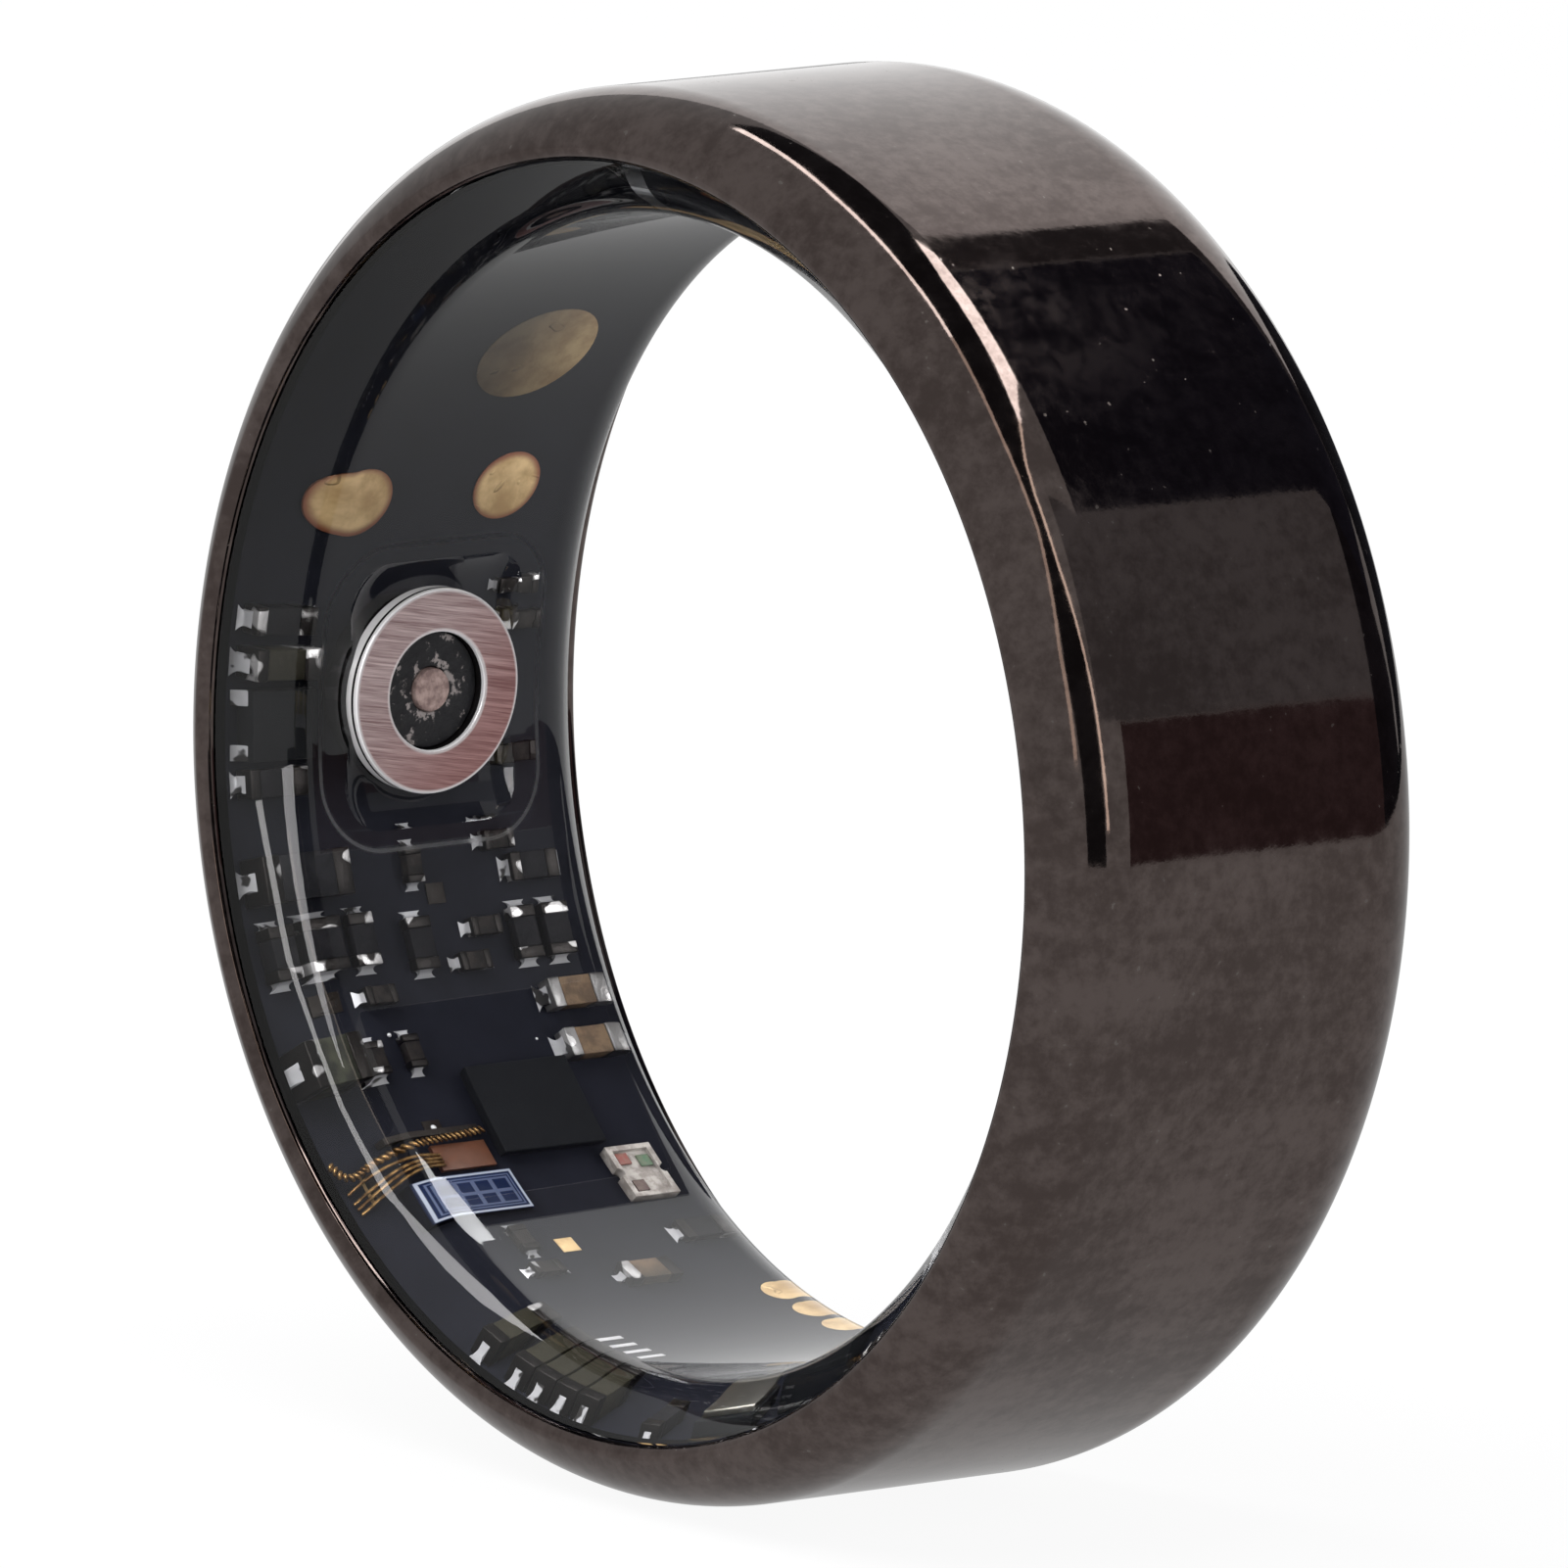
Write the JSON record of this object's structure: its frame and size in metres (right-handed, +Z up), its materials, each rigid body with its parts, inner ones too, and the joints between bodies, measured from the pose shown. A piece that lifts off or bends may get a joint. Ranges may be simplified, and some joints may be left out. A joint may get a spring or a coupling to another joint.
{
  "type": "smart ring",
  "caption": "Sensor ring for a finger: dark metal shell, clear moulded liner over a curved circuit and battery, and a round charging contact in the bore.",
  "frame": {"origin": "centre of the ring, on the axis of the finger bore at the middle of its width", "axes": "+Y along the finger bore, +Z up with the ring upright, -X towards the charging contact"},
  "size_m": [0.0222, 0.0076, 0.0222],
  "materials": {
    "shell_metal": "polished, with a dark gunmetal coating and faint smudges",
    "tape": "matt adhesive film",
    "board": "black solder mask on polyimide, satin",
    "clear_resin": "clear cast epoxy, glossy",
    "cell_foil": "laminate foil, satin",
    "sleeve_film": "black polyester film",
    "nickel": "nickel strip, satin",
    "chip_black": "black moulding compound, fine matt",
    "contact_steel": "straight brushed face with polished edges",
    "insulator_plastic": "black moulded plastic",
    "solder": "bright solder",
    "antenna_ceramic": "white fired ceramic",
    "lid_metal": "plated lid, satin",
    "sensor_die": "bare brown die, satin",
    "photodiode": "blue die with pale metal lines, glossy",
    "gold_wire": "drawn gold wire",
    "led_white": "white reflector plastic",
    "red_die": "red emitter die",
    "green_die": "green emitter die",
    "infrared_die": "dark infrared emitter die",
    "capacitor_tan": "fired tan ceramic",
    "tin_plate": "dull tin plating",
    "capacitor_brown": "fired brown ceramic",
    "resistor_black": "black glaze",
    "ferrite_black": "dark grey ferrite",
    "inductor_olive": "olive grey moulded powder",
    "gold_pad": "gold plated copper, satin"
  },
  "bodies": {
    "root": {"outer_shell": "shell_metal", "adhesive_tape": "tape", "flex_board": "board", "resin_liner": "clear_resin", "battery_cell": "cell_foil", "battery_sleeve": "sleeve_film", "battery_tabs": "nickel", "protection_chip": "chip_black", "contact_ring": "contact_steel", "contact_insulator": "insulator_plastic", "contact_pin": "contact_steel", "contact_solder": "solder", "main_processor": "chip_black", "processor_balls": "solder", "charger_chip": "chip_black", "charger_terminals": "solder", "motion_sensor": "chip_black", "power_chip": "chip_black", "chip_antenna": "antenna_ceramic", "antenna_ends": "solder", "crystal_base": "chip_black", "crystal_lid": "lid_metal", "sensor_die": "sensor_die", "photodiode": "photodiode", "bond_wires": "gold_wire", "led_package": "led_white", "red_led_die": "red_die", "green_led_die": "green_die", "infrared_led_die": "infrared_die", "large_capacitor_bodies": "capacitor_tan", "large_capacitor_ends": "tin_plate", "small_capacitor_bodies": "capacitor_brown", "small_capacitor_ends": "tin_plate", "resistor_bodies": "resistor_black", "resistor_ends": "tin_plate", "ferrite_body": "ferrite_black", "ferrite_ends": "tin_plate", "power_inductor": "inductor_olive", "inductor_ends": "tin_plate", "solder_fillets": "solder", "gold_pads": "gold_pad"}
  },
  "joints": []
}
